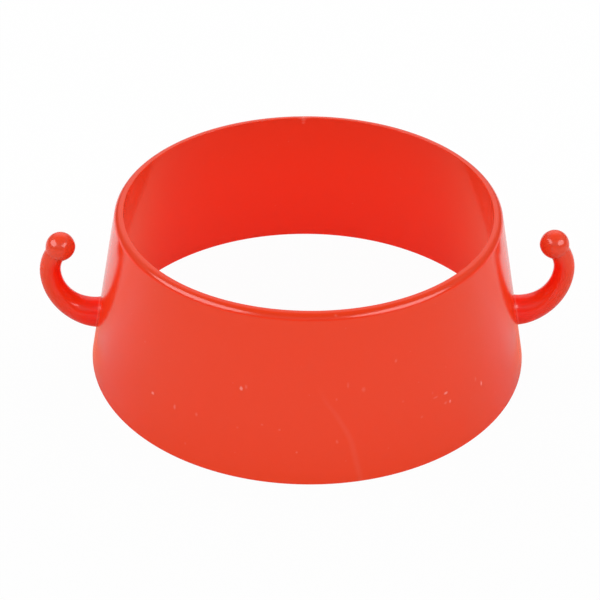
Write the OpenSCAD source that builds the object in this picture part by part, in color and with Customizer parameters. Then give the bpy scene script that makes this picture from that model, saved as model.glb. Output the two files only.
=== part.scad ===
// Slip-on cone collar with two chain hooks: a tapered, open plastic ring that
// drops over a cone and jams on it, with a ball-ended hook on each side.
// Millimetres, +Z up, origin at the centre of the bottom edge, hooks on +X and -X.

/* [Collar] */
// Outside diameter of the wide bottom edge
base_d = 110; // [90:1:140]
// Height from the bottom edge to the top land
collar_h = 41.4; // [34:0.1:60]
// Lean of the outside wall from upright, in degrees
taper = 11.2; // [6:0.1:15]
// Wall thickness at the bottom edge
wall_bottom = 2.5; // [2.2:0.1:4]
// Wall thickness at the top edge
wall_top = 2.1; // [2:0.1:3]
// Radius of the soft round along the outside of the rim
shoulder_r = 1.8; // [0.5:0.1:1.8]
// Radius of the other three edges
edge_r = 0.15; // [0.1:0.05:0.3]

/* [Hooks] */
// Height of a hook's root above the bottom edge
root_z = 10.1; // [7:0.1:14]
// Arm diameter at the root
root_d = 8.2; // [6:0.1:9]
// Arm diameter just under the ball
neck_d = 5.1; // [3.6:0.1:5.6]
// Diameter of the ball that keeps the chain on
ball_d = 7.1; // [6.4:0.1:9]
// Distance that the lower bend reaches out from the wall
reach = 11.1; // [9:0.1:16]
// Distance that the lower bend rises
rise = 12.2; // [9:0.1:14]
// Radius of the upper curl, back towards the wall
curl_r = 9.5; // [7:0.1:16]
// Turn of the upper curl, in degrees
curl_turn = 35; // [15:0.5:45]
// How fast the arm thins: 1 is even, more is mostly near the root
thinning = 2.4; // [1:0.1:3]

/* [Weld joint] */
// Diameter of the round spigot on the root
spigot_d = 5; // [4:0.1:5.6]
// Depth of the spigot in the wall
spigot_depth = 1; // [0.6:0.1:1.2]
// Size of the small fillet that the weld leaves round the root
weld_fillet = 0.3; // [0.1:0.05:0.5]

/* [Hidden] */

red = [0.91, 0.22, 0.14];
$fn = 180;

// Radius of the cone's outside and inside at height z
base_r = base_d / 2;
function outer_r(z) = base_r - z * tan(taper);
inner_base_r = base_r - wall_bottom;
inner_top_r = outer_r(collar_h) - wall_top;

// The arm starts on the wall, where its axis meets the outside of the cone
seat_x = outer_r(root_z);
full_turn = 90 + curl_turn;
neck_r = neck_d / 2;
root_r = root_d / 2;
ball_r = ball_d / 2;

// The neck runs straight into the ball, as far as the ball's own cap covers it
neck_len = sqrt(ball_r * ball_r - neck_r * neck_r);

// Facets of a hook, and how sharply its neck blends into the ball
sides = 24;
bend_steps = 16;
curl_steps = 6;
ball_steps = 14;
fillet_steps = 3;
blend_power = 10;
// First turn of the bend that stands clear of the weld fillet
first_turn = 7;

// Thickness of the arm after it has turned by a
function arm_r(a) = neck_r + (root_r - neck_r) * pow(1 - a / full_turn, thinning);

// A station on the arm is [x, z, heading, radius]
function bend_station(a) = [
    seat_x + reach * sin(a),
    root_z + rise * (1 - cos(a)),
    atan2(rise * sin(a), reach * cos(a)),
    arm_r(a)
];
function curl_station(a) = [
    seat_x + reach - curl_r * (1 - cos(a)),
    root_z + rise + curl_r * sin(a),
    90 + a,
    arm_r(90 + a)
];
neck_start = curl_station(curl_turn);

// Station u along the neck's axis, with the ball's centre at neck_len
function ball_section(u) = sqrt(max(0, ball_r * ball_r - pow(u - neck_len, 2)));
function blended(a, b) = pow(pow(a, blend_power) + pow(b, blend_power), 1 / blend_power);
function neck_station(u) = [
    neck_start[0] + u * cos(neck_start[2]),
    neck_start[1] + u * sin(neck_start[2]),
    neck_start[2],
    u < neck_len ? blended(neck_r, ball_section(u)) : blended(neck_r, ball_r) * ball_section(u) / ball_r
];

// Turn round the ball at which the neck leaves it, and the stations that follow
neck_turn = asin(neck_r / ball_r);
arm_stations = concat(
    [for (i = [0 : bend_steps]) bend_station(first_turn + (90 - first_turn) * i / bend_steps)],
    [for (i = [1 : curl_steps]) curl_station(curl_turn * i / curl_steps)],
    [for (i = [1 : ball_steps - 1])
        neck_station(neck_len - ball_r * cos(neck_turn + (180 - neck_turn) * i / ball_steps))]
);
ball_tip = neck_station(neck_len + ball_r);

// Ring of points round a station, square to its heading
function arm_ring(s) = [for (k = [0 : sides - 1]) let (w = 360 * k / sides)
    [s[0] + s[3] * cos(w) * sin(s[2]), s[3] * sin(w), s[1] - s[3] * cos(w) * cos(s[2])]];

// Ring of radius r about the root's axis, laid on the cone and lifted off it by lift
function root_ring(r, lift) = [for (k = [0 : sides - 1])
    let (w = 360 * k / sides, y = r * sin(w), z = root_z - r * cos(w))
    [sqrt(pow(outer_r(z), 2) - y * y) + lift, y, z]];

// Flat ring of radius r about the root's axis, at x
function spigot_ring(r, x) = [for (k = [0 : sides - 1]) let (w = 360 * k / sides)
    [x, r * sin(w), root_z - r * cos(w)]];

hook_rings = concat(
    [spigot_ring(spigot_d / 2, seat_x - spigot_depth), root_ring(spigot_d / 2, 0)],
    [for (i = [0 : fillet_steps]) let (w = 90 * i / fillet_steps)
        root_ring(root_r + weld_fillet * (1 - sin(w)), weld_fillet * (1 - cos(w)))],
    [for (s = arm_stations) arm_ring(s)]
);

// Unit vector from p towards q
function toward(p, q) = (q - p) / norm(q - p);

// What a rounding of radius r takes off the corner at p, between its neighbours a and b
module corner_waste(p, a, b, r) {
    u = toward(p, a);
    v = toward(p, b);
    half = acos(u * v) / 2;
    run = r / tan(half);
    middle = p + (u + v) / norm(u + v) * r / sin(half);
    difference() {
        polygon([p + u * run, p - (u + v) * r, p + v * run, middle]);
        translate(middle) circle(r, $fn = 48);
    }
}

// The wall's section: a leaning strip with a soft shoulder, and the other edges eased
module wall_section() {
    corners = [[inner_base_r, 0], [base_r, 0], [outer_r(collar_h), collar_h], [inner_top_r, collar_h]];
    radii = [edge_r, edge_r, shoulder_r, edge_r];
    difference() {
        polygon(corners);
        for (i = [0 : 3])
            corner_waste(corners[i], corners[(i + 3) % 4], corners[(i + 1) % 4], radii[i]);
    }
}

// Blind round socket for a hook's spigot
module spigot_socket() {
    translate([seat_x - spigot_depth, 0, root_z])
        rotate([0, 90, 0])
            cylinder(d = spigot_d, h = root_d);
}

module collar() {
    color(red)
        difference() {
            rotate_extrude() wall_section();
            for (turn = [0, 180])
                rotate([0, 0, turn]) spigot_socket();
        }
}

// One hook: spigot, saddle-shaped foot, bent and thinning arm, ball
module hook() {
    count = len(hook_rings);
    tip = count * sides;
    points = concat([for (ring = hook_rings) each ring], [[ball_tip[0], 0, ball_tip[1]]]);
    sleeve = [for (j = [0 : count - 2], k = [0 : sides - 1]) let (n = (k + 1) % sides)
        [j * sides + k, (j + 1) * sides + k, (j + 1) * sides + n, j * sides + n]];
    crown = [for (k = [0 : sides - 1])
        [(count - 1) * sides + k, tip, (count - 1) * sides + (k + 1) % sides]];
    foot = [[for (k = [0 : sides - 1]) k]];
    color(red) polyhedron(points, concat(foot, sleeve, crown));
}

module hook_right() {
    hook();
}

module hook_left() {
    rotate([0, 0, 180]) hook();
}

collar();
hook_left();
hook_right();
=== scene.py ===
from math import asin, cos, pi, radians, sin, sqrt, tan

import bpy
from mathutils import Matrix, Vector


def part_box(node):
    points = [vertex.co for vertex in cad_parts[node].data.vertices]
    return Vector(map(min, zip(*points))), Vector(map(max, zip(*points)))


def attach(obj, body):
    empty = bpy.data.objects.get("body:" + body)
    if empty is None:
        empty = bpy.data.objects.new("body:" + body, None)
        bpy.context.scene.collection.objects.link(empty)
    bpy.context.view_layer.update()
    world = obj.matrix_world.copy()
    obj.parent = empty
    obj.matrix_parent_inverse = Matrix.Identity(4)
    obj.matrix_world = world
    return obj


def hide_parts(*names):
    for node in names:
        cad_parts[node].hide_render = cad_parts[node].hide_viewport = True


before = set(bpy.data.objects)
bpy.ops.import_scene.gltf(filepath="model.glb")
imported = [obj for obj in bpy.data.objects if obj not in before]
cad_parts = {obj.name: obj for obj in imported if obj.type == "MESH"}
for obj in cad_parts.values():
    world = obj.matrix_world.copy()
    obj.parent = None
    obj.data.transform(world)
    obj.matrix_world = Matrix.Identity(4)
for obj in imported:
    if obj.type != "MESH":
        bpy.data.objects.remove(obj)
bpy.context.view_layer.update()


# Collar: the tapered ring that drops over a cone and jams on it.
# It is one thin shell of glossy red plastic, injection-moulded and drawn off its core downwards,
# with a narrow flat land on the top rim and a soft round shoulder along the rim's outside.
base_r = 0.055
collar_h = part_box("collar")[1].z
taper = radians(11.2)
wall_bottom = 0.0025
wall_top = 0.0021
shoulder_r = 0.0018
edge_r = 0.00015


def outer_r(z):
    return base_r - z * tan(taper)


inner_base_r = base_r - wall_bottom
inner_top_r = outer_r(collar_h) - wall_top


class Wire:
    """A socket in a node tree. Arithmetic on it adds Math nodes, and node() adds any other node."""

    def __init__(self, tree, socket=None):
        self.tree = tree
        self.socket = socket

    def node(self, kind, settings=None, sockets=None, out=0):
        made = self.tree.nodes.new(kind)
        for name, value in (settings or {}).items():
            if name == "curve":
                line = made.mapping.curves[0].points
                while len(line) < len(value):
                    line.new(1, 1)
                for point, place in zip(line, value):
                    point.location = place
                made.mapping.update()
            else:
                setattr(made, name, value)
        for name, value in (sockets or {}).items():
            if isinstance(value, Wire):
                self.tree.links.new(value.socket, made.inputs[name])
            else:
                made.inputs[name].default_value = value
        return Wire(self.tree, made.outputs[out]) if made.outputs else None

    def other(self, out):
        return Wire(self.tree, self.socket.node.outputs[out])

    def maths(self, operation, first, second=0.0):
        return self.node("ShaderNodeMath", {"operation": operation}, {0: first, 1: second})

    def __add__(self, value):
        return self.maths("ADD", self, value)

    def __sub__(self, value):
        return self.maths("SUBTRACT", self, value)

    def __mul__(self, value):
        return self.maths("MULTIPLY", self, value)

    def __truediv__(self, value):
        return self.maths("DIVIDE", self, value)

    def __rsub__(self, value):
        return self.maths("SUBTRACT", value, self)

    def __rtruediv__(self, value):
        return self.maths("DIVIDE", value, self)

    def __abs__(self):
        return self.maths("ABSOLUTE", self)

    __radd__ = __add__
    __rmul__ = __mul__

    def rise(self, low, high):
        """Goes smoothly from 0 where this wire is at low to 1 where it is at high."""
        return self.node("ShaderNodeMapRange", {"interpolation_type": "SMOOTHSTEP"},
                         {"Value": self, "From Min": low, "From Max": high})

    def tint(self, plain, marked):
        """Mixes two colours by this wire."""
        return self.node("ShaderNodeMix", {"data_type": "RGBA"}, {0: self, 6: plain, 7: marked}, out=2)


def shape_tree(name, sizes):
    """A new shape tree with one input for each named size, and the wires of its inputs."""
    tree = bpy.data.node_groups.new(name, "GeometryNodeTree")
    tree.interface.new_socket("Line", in_out="INPUT", socket_type="NodeSocketGeometry")
    for size, kind in sizes.items():
        tree.interface.new_socket(size, in_out="INPUT", socket_type="NodeSocket" + kind)
    tree.interface.new_socket("Shape", in_out="OUTPUT", socket_type="NodeSocketGeometry")
    given = Wire(tree).node("NodeGroupInput", out="Line")
    return tree, given


def close_tree(shape, finish):
    """Ends a shape tree: smooth faces, real geometry, and its finish."""
    smooth = shape.node("GeometryNodeSetShadeSmooth", {}, {0: shape})
    real = shape.node("GeometryNodeRealizeInstances", {}, {0: smooth})
    done = shape.node("GeometryNodeSetMaterial", {}, {"Geometry": real, "Material": finish})
    shape.node("NodeGroupOutput", {}, {"Shape": done})


def shape_from_line(name, tree, sizes, points, radii=None, closed=False):
    """Draws a line through the points, runs a shape tree on it and keeps the mesh that comes out."""
    line = bpy.data.curves.new(name, "CURVE")
    line.dimensions = "3D"
    spline = line.splines.new("POLY")
    spline.points.add(len(points) - 1)
    for knot, point in zip(spline.points, points):
        knot.co = (*point, 1)
    for knot, radius in zip(spline.points, radii or []):
        knot.radius = radius
    spline.use_cyclic_u = closed
    drawn = bpy.data.objects.new(name + "_line", line)
    bpy.context.scene.collection.objects.link(drawn)
    shaper = drawn.modifiers.new("shape", "NODES")
    shaper.node_group = tree
    for socket in tree.interface.items_tree:
        if socket.in_out == "INPUT" and socket.name in sizes:
            shaper[socket.identifier] = sizes[socket.name]
    ready = bpy.context.evaluated_depsgraph_get()
    mesh = bpy.data.meshes.new_from_object(drawn.evaluated_get(ready), depsgraph=ready)
    drawn.modifiers.remove(shaper)
    bpy.data.objects.remove(drawn)
    piece = bpy.data.objects.new(name, mesh)
    bpy.context.scene.collection.objects.link(piece)
    return piece


def rounded_outline(corners, hold):
    """Rounds each (x, y, radius, steps) corner, and holds the straights with a point beside each arc."""
    outline = []
    for i, (x, y, radius, steps) in enumerate(corners):
        tip = Vector((x, y))
        back = (Vector(corners[i - 1][:2]) - tip).normalized()
        ahead = (Vector(corners[(i + 1) % len(corners)][:2]) - tip).normalized()
        half = back.angle(ahead) / 2
        run = radius / tan(half)
        middle = tip + (back + ahead).normalized() * radius / sin(half)
        start = tip + back * run - middle
        end = tip + ahead * run - middle
        outline.append(middle + start + back * hold)
        outline += [middle + start.slerp(end, k / steps) * radius for k in range(steps + 1)]
        outline.append(middle + end + ahead * hold)
    return outline


lathe, given = shape_tree("turn a section round the axis", {
    "Sweep radius": "Float", "Segments": "Int", "Finish": "Material"})
sweep = given.node("GeometryNodeCurvePrimitiveCircle", {}, {
    "Resolution": given.other("Segments"), "Radius": given.other("Sweep radius")})
shell = given.node("GeometryNodeCurveToMesh", {}, {"Curve": sweep, "Profile Curve": given})
outward = given.node("GeometryNodeFlipFaces", {}, {"Mesh": shell})
close_tree(outward, given.other("Finish"))

# Reds of the plastic: a deep red painted on faces in shade, a brighter red painted on the ring's inner sides
# to lift their shade, a paler red painted on faces in light, a darker red for dust and a painted dimming of
# highlights on faces that look up, and red whitened by a knock, which also paints highlights
shaded_face_red = (0.95, 0.026, 0.0055, 1)
lifted_inner_side_red = (0.95, 0.048, 0.009, 1)
lit_face_red = (0.79, 0.041, 0.006, 1)
dust_and_shade_red = (0.64, 0.034, 0.006, 1)
whitened_and_highlight_red = (0.86, 0.26, 0.20, 1)
light_streak = 0.3
gloss = 0.16
scuff_rough = 0.06
whitened_and_highlight_rough = 0.25
noise_middle = 0.5
relief_depth = 0.00001
ripple_height = 0.5
mark_height = 4


def facing(place):
    """How far a face looks away from the collar's axis, and how far it looks up."""
    normal = place.node("ShaderNodeNewGeometry", out="Normal")
    level = place.node("ShaderNodeVectorMath", {"operation": "MULTIPLY"}, {0: place, 1: (1, 1, 0)})
    away = place.node("ShaderNodeVectorMath", {"operation": "NORMALIZE"}, {0: level})
    out = place.node("ShaderNodeVectorMath", {"operation": "DOT_PRODUCT"}, {0: normal, 1: away}, out="Value")
    return out, place.node("ShaderNodeSeparateXYZ", {}, {0: normal}, out="Z")


def red_plastic(name, wear_and_light):
    """Glossy moulded red. The wear and painted light give the red for shaded faces, and how much painted
    light, dust and painted dimming, whitening and painted highlight, and raise there is.
    """
    material = bpy.data.materials.new(name)
    material.use_nodes = True
    tree = material.node_tree
    tree.nodes.clear()
    place = Wire(tree).node("ShaderNodeTexCoord", out="Object")
    streaks = place.node("ShaderNodeTexNoise", {}, {
        "Vector": place, "Scale": 90, "Detail": 4, "Roughness": 0.6})
    scuffs = place.node("ShaderNodeTexNoise", {}, {
        "Vector": place, "Scale": 420, "Detail": 5, "Roughness": 0.7})
    ripple = place.node("ShaderNodeTexNoise", {}, {"Vector": place, "Scale": 160, "Detail": 1})
    shade_colour, painted_light, dust_and_shade, whitened_and_highlight, raised = wear_and_light(place)
    # The deep red of shaded faces and the paler red of lit faces are painted shade and painted light, mixed
    # by how lit the face is; dust with painted dimming, and whitening with painted highlights, go over them
    streaked_light = painted_light * (1 + (streaks - noise_middle) * light_streak)
    colour = whitened_and_highlight.tint(dust_and_shade.tint(streaked_light.tint(shade_colour, lit_face_red), dust_and_shade_red), whitened_and_highlight_red)
    rough = gloss + (scuffs - noise_middle) * scuff_rough + whitened_and_highlight * whitened_and_highlight_rough
    relief = place.node("ShaderNodeBump", {}, {
        "Strength": 1, "Distance": relief_depth, "Height": ripple * ripple_height + raised * mark_height})
    body = place.node("ShaderNodeBsdfPrincipled", {}, {
        "Base Color": colour, "Roughness": rough, "IOR": 1.46, "Normal": relief})
    place.node("ShaderNodeOutputMaterial", {}, {"Surface": body})
    return material


# Angle round the collar in degrees, from the front towards the right hook, then in millimetres the height,
# the depth under the outside of the wall and the width, how much taller than wide it is, and how white.
# The outside's nicks come first, then one on the shoulder whose paleness is also a painted glint, flecks on
# the inside, and the gate's scar.
nicks = [
    (-18.4, 22.5, 0, 0.50, 1.4, 0.85),
    (36.5, 15.9, 0, 0.72, 0.55, 0.80),
    (-44.6, 13.0, 0, 0.62, 0.8, 0.66),
    (49.9, 12.6, 0, 0.48, 1.9, 0.55),
    (37.7, 13.3, 0, 0.42, 1.4, 0.55),
    (-36.9, 12.6, 0, 0.44, 2.0, 0.38),
    (36.2, 13.5, 0, 0.60, 0.8, 0.22),
    (22.1, 28.3, 0, 0.45, 1.3, 0.22),
    (-17.1, 23.1, 0, 0.40, 1.8, 0.22),
    (-3.8, 8.2, 0, 0.36, 1.0, 0.25),
    (-30.2, 13.0, 0, 0.48, 1.3, 0.22),
    (-8.2, 13.6, 0, 0.36, 1.0, 0.20),
    (33.2, 16.0, 0, 0.95, 0.4, 0.20),
    (6.0, 10.7, 0, 0.42, 1.6, 0.20),
    (-12.6, 14.4, 0, 0.36, 1.0, 0.18),
    (47.7, 14.8, 0, 0.44, 1.8, 0.16),
    (13.0, 22.9, 0, 0.60, 1.3, 0.15),
    (9.0, 24.4, 0, 0.40, 2.6, 0.14),
    (6.0, 21.2, 0, 0.40, 1.0, 0.13),
    (28.6, 12.5, 0, 0.50, 0.8, 0.14),
    (-49.8, 24.2, 0, 0.44, 1.0, 0.12),
    (32.3, 17.4, 0, 0.40, 1.2, 0.10),
    (-18.8, 12.7, 0, 0.36, 1.0, 0.12),
    (-32.7, 4.6, 0, 0.38, 1.0, 0.12),
    (23.5, 17.9, 0, 0.40, 1.0, 0.10),
    (6.1, 40.9, 0.7, 0.55, 0.6, 0.30),
    (-174.6, 33.6, 2.2, 0.30, 1.0, 0.12),
    (147.2, 25.4, 2.3, 0.30, 1.0, 0.12),
    (164.3, 12.7, 2.4, 0.30, 1.0, 0.10),
    (-170.9, 11.2, 2.4, 0.30, 1.0, 0.10),
    (-179.5, 41.3, 0.8, 2.40, 0.3, 0.25),
    (-179.5, 41.4, 1.4, 0.90, 1.0, 0.45),
    (-179.5, 41.0, 2.1, 0.85, 1.0, 0.45),
    (-179.5, 39.9, 2.1, 0.70, 1.0, 0.28),
]
mm = 0.001
# A nick fades in from its edge to its core, in shares of its width, and its outline wanders by this much
nick_fade = (1.1, 0.15)
nick_wander = 0.0002
# Angle in degrees and height in millimetres of the points that the weld line passes on its way up the wall
weld_line = [(11.8, 0), (10.3, 6.8), (9.4, 10.7), (6.2, 16.8), (2.7, 21.9), (1.4, 26.8)]
weld_white = 0.055
weld_width = 0.0012
# The line's course is a curve from 0 to 1 that stands for this angle, with the front in its middle
weld_fan = radians(40)
weld_front = 0.5
# A stray speck fades in from its edge to its core, in cells, and only cells that draw a high number have one
speck_fade = (0.02, 0.008)
speck_draw = (0.5, 0.9)
speck_white = 0.15
# The sides begin at this sine of the angle from the front, the shoulder and the dust with its painted dimming
# at this much facing up
sides = (0.7, 1)
shoulder_up = (0.2, 0.4)
dust_and_shade_up = (0.1, 0.9)
# How much the painted light is cut on the sides and on the shoulder, whose deeper red is a painted dark
# reflection, and how much painted light the inside gets at its top
sides_light_cut = 0.4
shoulder_light_cut = 0.6
inside_light = 0.5


def collar_wear_and_light(place):
    """Painted light on the outside, a painted lift on the inner sides, dust and painted dimming on top, pale
    nicks, the weld line, stray specks.
    """
    wobble = place.node("ShaderNodeTexNoise", {}, {"Vector": place, "Scale": 2500, "Detail": 2}, out="Color")
    wobble = place.node("ShaderNodeVectorMath", {"operation": "MULTIPLY_ADD"}, {
        0: wobble, 1: (2 * nick_wander,) * 3, 2: (-nick_wander,) * 3})
    uneven = place.node("ShaderNodeVectorMath", {"operation": "ADD"}, {0: place, 1: wobble})
    nicked = None
    for angle, height, deep, width, tall, white in nicks:
        reach = outer_r(height * mm) - deep * mm
        spot = (reach * sin(radians(angle)), -reach * cos(radians(angle)), height * mm)
        size = width * mm
        near = place.node("ShaderNodeMapping", {"vector_type": "TEXTURE"}, {
            "Vector": uneven, "Location": spot, "Scale": (size, size, size * tall)})
        gap = place.node("ShaderNodeVectorMath", {"operation": "LENGTH"}, {0: near}, out="Value")
        one = gap.rise(*nick_fade) * white
        nicked = one if nicked is None else place.maths("MAXIMUM", nicked, one)
    x = place.node("ShaderNodeSeparateXYZ", {}, {0: place}, out="X")
    y = x.other("Y")
    z = x.other("Z")
    turn = x.maths("ARCTAN2", x, y * -1)
    path = [(height * mm / collar_h, weld_front + radians(angle) / weld_fan) for angle, height in weld_line]
    course = z.node("ShaderNodeFloatCurve", {"curve": path}, {"Value": z / collar_h})
    aside = abs(turn - (course - weld_front) * weld_fan) * base_r
    weld_top = weld_line[-1][1] * mm
    welded = aside.rise(weld_width, 0) * z.rise(weld_top, weld_top / 2) * weld_white
    round_wall = place.node("ShaderNodeCombineXYZ", {}, {0: turn * base_r, 1: z})
    specks = place.node("ShaderNodeTexVoronoi", {"voronoi_dimensions": "2D"}, {
        "Vector": round_wall, "Scale": 110}, out="Distance")
    drawn = place.node("ShaderNodeSeparateColor", {}, {0: specks.other("Color")})
    specked = specks.rise(*speck_fade) * drawn.rise(*speck_draw) * speck_white
    whitened_and_highlight = place.maths("MAXIMUM", place.maths("MAXIMUM", nicked, specked), welded)
    out, up = facing(place)
    beside = abs(x.maths("SINE", turn)).rise(*sides)
    outer = (out + up).rise(0, 1)
    # Painted light and shade: outside faces that look out or up take the paler lit red, and the inside takes
    # more of the deep shade red towards its bottom
    inside = z / collar_h * inside_light
    outside = 1 - beside * sides_light_cut - up.rise(*shoulder_up) * shoulder_light_cut
    painted_light = inside + outer * (outside - inside)
    # A brighter red is painted on the inner sides to lift their shade
    shade_colour = (beside * (1 - outer)).tint(shaded_face_red, lifted_inner_side_red)
    return shade_colour, painted_light, up.rise(*dust_and_shade_up), whitened_and_highlight, nicked


edge_steps = 6
shoulder_steps = 20
collar_section = rounded_outline([
    (inner_base_r, 0, edge_r, edge_steps),
    (base_r, 0, edge_r, edge_steps),
    (outer_r(collar_h), collar_h, shoulder_r, shoulder_steps),
    (inner_top_r, collar_h, edge_r, edge_steps),
], hold=0.0001)
collar = shape_from_line("collar_shell", lathe, {
    "Sweep radius": base_r,
    "Segments": 480,
    "Finish": red_plastic("red_plastic_collar", collar_wear_and_light),
}, [(r - base_r, -z, 0) for r, z in collar_section], closed=True)
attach(collar, "root")
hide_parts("collar")


# Hooks: two round arms that leave the collar low down, bend up and curl back in to a ball, so that a chain
# link stays on. Each is the same red plastic, moulded with a saddle-shaped foot that is a little flattened
# from front to back and fused to the wall, with a pale line painted round the joint as its highlight.
root_z = 0.0101
root_r = 0.0082 / 2
neck_r = 0.0051 / 2
ball_r = 0.0071 / 2
bend_reach = 0.0111
bend_rise = 0.0122
curl_r = 0.0095
curl_turn = radians(35)
thinning = 2.4
# How far the foot goes into the wall, the run off the wall over which its saddle fades, and its flatness
foot_depth = 0.001
foot_run = 0.0047
foot_flat = 0.157
# How sharply the neck blends into the ball, and the radius at which the ball's tip is closed
neck_blend = 7
tip_r = 1e-6
seat_x = outer_r(root_z)
full_turn = pi / 2 + curl_turn


def arm_r(turn):
    return neck_r + (root_r - neck_r) * (1 - turn / full_turn) ** thinning


def blended(a, b):
    return (a ** neck_blend + b ** neck_blend) ** (1 / neck_blend)


# Points along the arm's axis as (x, z, radius): foot, lower bend, upper curl, neck and ball
bend_steps = 40
curl_steps = 16
ball_steps = 30
neck_len = sqrt(ball_r ** 2 - neck_r ** 2)
neck_turn = asin(neck_r / ball_r)
full_ball = blended(neck_r, ball_r) / ball_r
arm = [(seat_x - foot_depth, root_z, root_r)]
for i in range(bend_steps + 1):
    turn = pi / 2 * i / bend_steps
    arm.append((seat_x + bend_reach * sin(turn), root_z + bend_rise * (1 - cos(turn)), arm_r(turn)))
for i in range(1, curl_steps + 1):
    turn = curl_turn * i / curl_steps
    arm.append((seat_x + bend_reach - curl_r * (1 - cos(turn)), root_z + bend_rise + curl_r * sin(turn),
                arm_r(pi / 2 + turn)))
neck_x, neck_z = arm[-1][:2]
for i in range(1, ball_steps + 1):
    roll = neck_turn + (pi - neck_turn) * i / ball_steps
    along = neck_len - ball_r * cos(roll)
    cap = ball_r * sin(roll)
    radius = blended(neck_r, cap) if along < neck_len else full_ball * cap
    arm.append((neck_x + along * cos(full_turn), neck_z + along * sin(full_turn), max(radius, tip_r)))

sweep_arm, given = shape_tree("sweep an arm and seat it on the cone", {
    "Sides": "Int", "Seat": "Float", "Saddle": "Float", "Flat": "Float", "Cone base": "Float",
    "Cone slope": "Float", "Turn": "Float", "Finish": "Material"})
ring = given.node("GeometryNodeCurvePrimitiveCircle", {}, {"Resolution": given.other("Sides"), "Radius": 1})
thickness = given.node("GeometryNodeInputRadius")
tube = given.node("GeometryNodeCurveToMesh", {}, {
    "Curve": given, "Profile Curve": ring, "Scale": thickness, "Fill Caps": True})
at = given.node("GeometryNodeInputPosition")
x = given.node("ShaderNodeSeparateXYZ", {}, {0: at}, out="X")
wall = given.other("Cone base") - x.other("Z") * given.other("Cone slope")
wall_x = x.maths("SQRT", wall * wall - x.other("Y") * x.other("Y"))
near_wall = x.rise(given.other("Seat") + given.other("Saddle"), given.other("Seat"))
shift = given.node("ShaderNodeCombineXYZ", {}, {
    0: (wall_x - given.other("Seat")) * near_wall, 1: x.other("Y") * near_wall * given.other("Flat") * -1})
seated = given.node("GeometryNodeSetPosition", {}, {"Geometry": tube, "Offset": shift})
way = given.node("ShaderNodeCombineXYZ", {}, {2: given.other("Turn")})
turned = given.node("GeometryNodeTransform", {}, {"Geometry": seated, "Rotation": way})
close_tree(turned, given.other("Finish"))

# The deep red painted on the hooks' shaded faces
hook_shaded_face_red = (0.93, 0.0165, 0.005, 1)
# Rub marks show where their noise is high, and a pale line painted as the joint's highlight within this
# distance of the wall
rub_noise = (0.66, 0.8)
rub_white = 0.12
joint_highlight_reach = (0.0006, 0.0001)
joint_highlight_white = 0.18
# Painted light falls on faces that look out or up, from this distance off the collar's middle; nearer the
# collar the hook keeps the deep red of painted shade
light_faces = (-0.9, 0.5)
light_distance = (0.052, 0.068)
# The ball begins at this height. It is painted a little pale as a sheen, and dusty and painted darker where
# it faces up, which dims its highlights
ball_height = (0.023, 0.029)
ball_sheen = 0.05
ball_dust_and_shade = 0.7
ball_dust_and_shade_up = (-0.2, 0.6)


def hook_wear_and_light(place):
    """Painted light where the hook stands clear, rub marks from the chain, painted sheen, dust and painted
    dimming on the ball, a painted highlight line at the joint.
    """
    distance = place.node("ShaderNodeVectorMath", {"operation": "LENGTH"}, {0: place}, out="Value")
    rub = place.node("ShaderNodeTexNoise", {}, {"Vector": place, "Scale": 900, "Detail": 3})
    worn = rub.rise(*rub_noise) * rub_white
    level = place.node("ShaderNodeVectorMath", {"operation": "MULTIPLY"}, {0: place, 1: (1, 1, 0)})
    across = place.node("ShaderNodeVectorMath", {"operation": "LENGTH"}, {0: level}, out="Value")
    height = place.node("ShaderNodeSeparateXYZ", {}, {0: place}, out="Z")
    off_wall = across + height * tan(taper) - base_r
    # A pale line painted along the joint as the highlight of the real joint's small fillet
    joint_highlight = off_wall.rise(*joint_highlight_reach) * joint_highlight_white
    out, up = facing(place)
    ball = height.rise(*ball_height)
    # Painted light: the paler red goes on faces that look out or up and stand clear of the collar, and on the
    # whole ball
    painted_light = place.maths("MAXIMUM", (out + up).rise(*light_faces) * distance.rise(*light_distance), ball)
    # Dust and a painted darkening on the ball's upper faces, and a little painted sheen on the whole ball
    dust_and_shade = up.rise(*ball_dust_and_shade_up) * ball * ball_dust_and_shade
    whitened_and_highlight = place.maths("MAXIMUM", worn, place.maths("MAXIMUM", joint_highlight, ball * ball_sheen))
    return hook_shaded_face_red, painted_light, dust_and_shade, whitened_and_highlight, worn


hook_red = red_plastic("red_plastic_hooks", hook_wear_and_light)
for side, turn in (("right", 0), ("left", pi)):
    hook = shape_from_line("hook_arm_" + side, sweep_arm, {
        "Sides": 64,
        "Seat": seat_x,
        "Saddle": foot_run,
        "Flat": foot_flat,
        "Cone base": base_r,
        "Cone slope": tan(taper),
        "Turn": turn,
        "Finish": hook_red,
    }, [(x, 0, z) for x, z, radius in arm], [radius for x, z, radius in arm])
    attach(hook, "root")
    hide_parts("hook_" + side)


# Floor: a wide sheet of white paper that the collar stands on. The camera sees it almost pure white, with
# enough of its real shade left to keep the collar's soft shadow. In the plastic's reflections it glows with
# painted light: white behind the collar, and red as painted bounce light from the wall at its foot and inside
# the ring.
floor_half = 3
# The paper is painted darker in front and lighter behind, as painted light from a brighter backdrop behind
front_white = (0.50, 0.50, 0.50, 1)
back_white = (0.62, 0.62, 0.62, 1)
front_to_back = (-0.03, 0.06)
camera_white = 0.97
pure_white = (1, 1, 1, 1)
bounced_red = (0.96, 0.34, 0.24, 1)
# How bright reflections show the floor inside the ring, and out in the open
ring_glow = 0.6
open_glow = 0.45
# Distances from the axis at which the ring ends, and to which the foot's strip and the nearby floor reach.
# The floor is also nearby within the last distance to the left and right of the middle.
ring_end = (0.0535, 0.055)
foot_strip = (0.064, 0.057)
nearby = (0.07, 0.058)
nearby_across = (0.062, 0.05)
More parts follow.
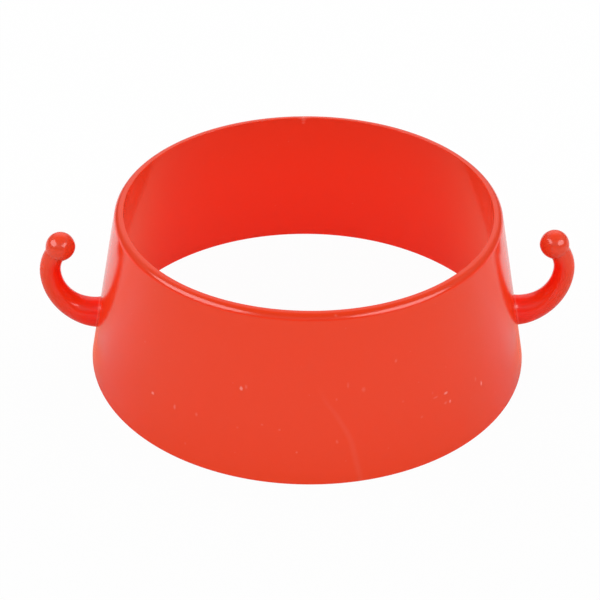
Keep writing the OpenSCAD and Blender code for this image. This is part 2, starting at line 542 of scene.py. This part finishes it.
# How far round towards the back the foot's strip, the glow and the pure white begin, as the sine of the angle
foot_turn = (-0.35, -0.05)
glow_turn = (0, 0.15)
white_turn = (0.15, 0.45)
floor_mesh = bpy.data.meshes.new("floor")
floor_mesh.from_pydata([(-floor_half, -floor_half, 0), (floor_half, -floor_half, 0),
                        (floor_half, floor_half, 0), (-floor_half, floor_half, 0)], [], [(0, 1, 2, 3)])
floor = bpy.data.objects.new("floor", floor_mesh)
bpy.context.scene.collection.objects.link(floor)
floor_paper = bpy.data.materials.new("white_paper")
floor_paper.use_nodes = True
floor_paper.node_tree.nodes.clear()
ray = Wire(floor_paper.node_tree).node("ShaderNodeLightPath", out="Is Camera Ray")
glossy = ray.other("Is Glossy Ray")
place = ray.node("ShaderNodeTexCoord", out="Object")
depth = ray.node("ShaderNodeSeparateXYZ", {}, {0: place}, out="Y")
away = ray.node("ShaderNodeVectorMath", {"operation": "LENGTH"}, {0: place}, out="Value")
behind = depth / away
outside = away.rise(*ring_end)
foot = behind.rise(*foot_turn) * away.rise(*foot_strip)
near = ray.maths("MAXIMUM", away.rise(*nearby), abs(depth.other("X")).rise(*nearby_across))
# The glow seen in reflections is painted light, brighter close to the collar's foot and near its middle
outside_glow = ray.maths("MAXIMUM", foot, behind.rise(*glow_turn)) * (open_glow + near * (1 - open_glow))
seen = ray * camera_white + glossy * (ring_glow + outside * (outside_glow - ring_glow))
reddened = glossy * (1 - behind.rise(*white_turn) * outside)
paper_white = depth.rise(*front_to_back).tint(front_white, back_white)
paper = ray.node("ShaderNodeBsdfDiffuse", {}, {"Color": paper_white})
lit = ray.node("ShaderNodeEmission", {}, {"Color": reddened.tint(pure_white, bounced_red), "Strength": 1})
mixed = ray.node("ShaderNodeMixShader", {}, {0: seen, 1: paper, 2: lit})
ray.node("ShaderNodeOutputMaterial", {}, {"Surface": mixed})
floor_mesh.materials.append(floor_paper)


# Light: a white room that the camera sees as pure white, with a ring of lit cloth well above the horizon.
# In the plastic's reflections the room is dim, with one lit patch high up behind the collar,
# and a softbox on each side of the camera adds the glints.
cloth_height = 0.56
cloth_spread = 0.33
cloth_glow = 3.8
room_dim = 0.17
room_lit = 0.85
room_lit_way = (0, 0.82, 0.57)
room_lit_edge = (0.8, 0.97)
world = bpy.data.worlds.new("studio")
bpy.context.scene.world = world
world.use_nodes = True
world.node_tree.nodes.clear()
ray = Wire(world.node_tree).node("ShaderNodeLightPath", out="Is Camera Ray")
glossy = ray.other("Is Glossy Ray")
way = ray.node("ShaderNodeTexCoord", out="Generated")
height = ray.node("ShaderNodeSeparateXYZ", {}, {0: way}, out="Z")
cloth = ray.maths("MAXIMUM", 1 - abs(height - cloth_height) / cloth_spread, 0) * cloth_glow
towards = ray.node("ShaderNodeVectorMath", {"operation": "DOT_PRODUCT"},
                   {0: way, 1: room_lit_way}, out="Value")
room = room_dim + towards.rise(*room_lit_edge) * (room_lit - room_dim)
unseen = cloth + glossy * (room - cloth)
glow = ray.node("ShaderNodeBackground", {}, {"Color": pure_white, "Strength": unseen + ray * (1 - unseen)})
ray.node("ShaderNodeOutputWorld", {}, {"Surface": glow})

softbox_distance = 1.0
softbox_radiance = 5
# Name, angle from the front towards the right and elevation in degrees, width and height in metres
softboxes = [
    ("softbox_left", -68, 37, 1.05, 0.65),
    ("softbox_right", 53, 33, 0.95, 0.60),
]
for name, angle, elevation, width, height in softboxes:
    lamp = bpy.data.lights.new(name, "AREA")
    lamp.shape = "ELLIPSE"
    lamp.size = width
    lamp.size_y = height
    lit_area = pi / 4 * width * height
    lamp.energy = softbox_radiance * pi * lit_area
    box = bpy.data.objects.new(name, lamp)
    bpy.context.scene.collection.objects.link(box)
    box.visible_diffuse = False
    box.matrix_world = (Matrix.Rotation(radians(angle), 4, "Z")
                        @ Matrix.Rotation(radians(90 - elevation), 4, "X")
                        @ Matrix.Translation((0, 0, softbox_distance)))


# Camera: a long lens that looks down on the collar from the front, almost square to its hooks.
# Its place and its lens were fitted to the edges of the ring.
view_distance = 0.38522
view_elevation = radians(34.609)
view_azimuth = radians(-1.215)
view_roll = radians(0.402)
view_aim = (-0.00193, 0, 0.01329)
sensor = 36
photo_width = 600
focal_pixels = 1522.9
lens = bpy.data.cameras.new("camera")
lens.sensor_width = sensor
lens.lens = focal_pixels / photo_width * sensor
lens.clip_start = 0.01
camera = bpy.data.objects.new("camera", lens)
bpy.context.scene.collection.objects.link(camera)
camera.matrix_world = (Matrix.Rotation(view_azimuth, 4, "Z")
                       @ Matrix.Translation(view_aim)
                       @ Matrix.Rotation(pi / 2 - view_elevation, 4, "X")
                       @ Matrix.Rotation(view_roll, 4, "Z")
                       @ Matrix.Translation((0, 0, view_distance)))
bpy.context.scene.camera = camera
bpy.context.scene.view_settings.view_transform = "Standard"
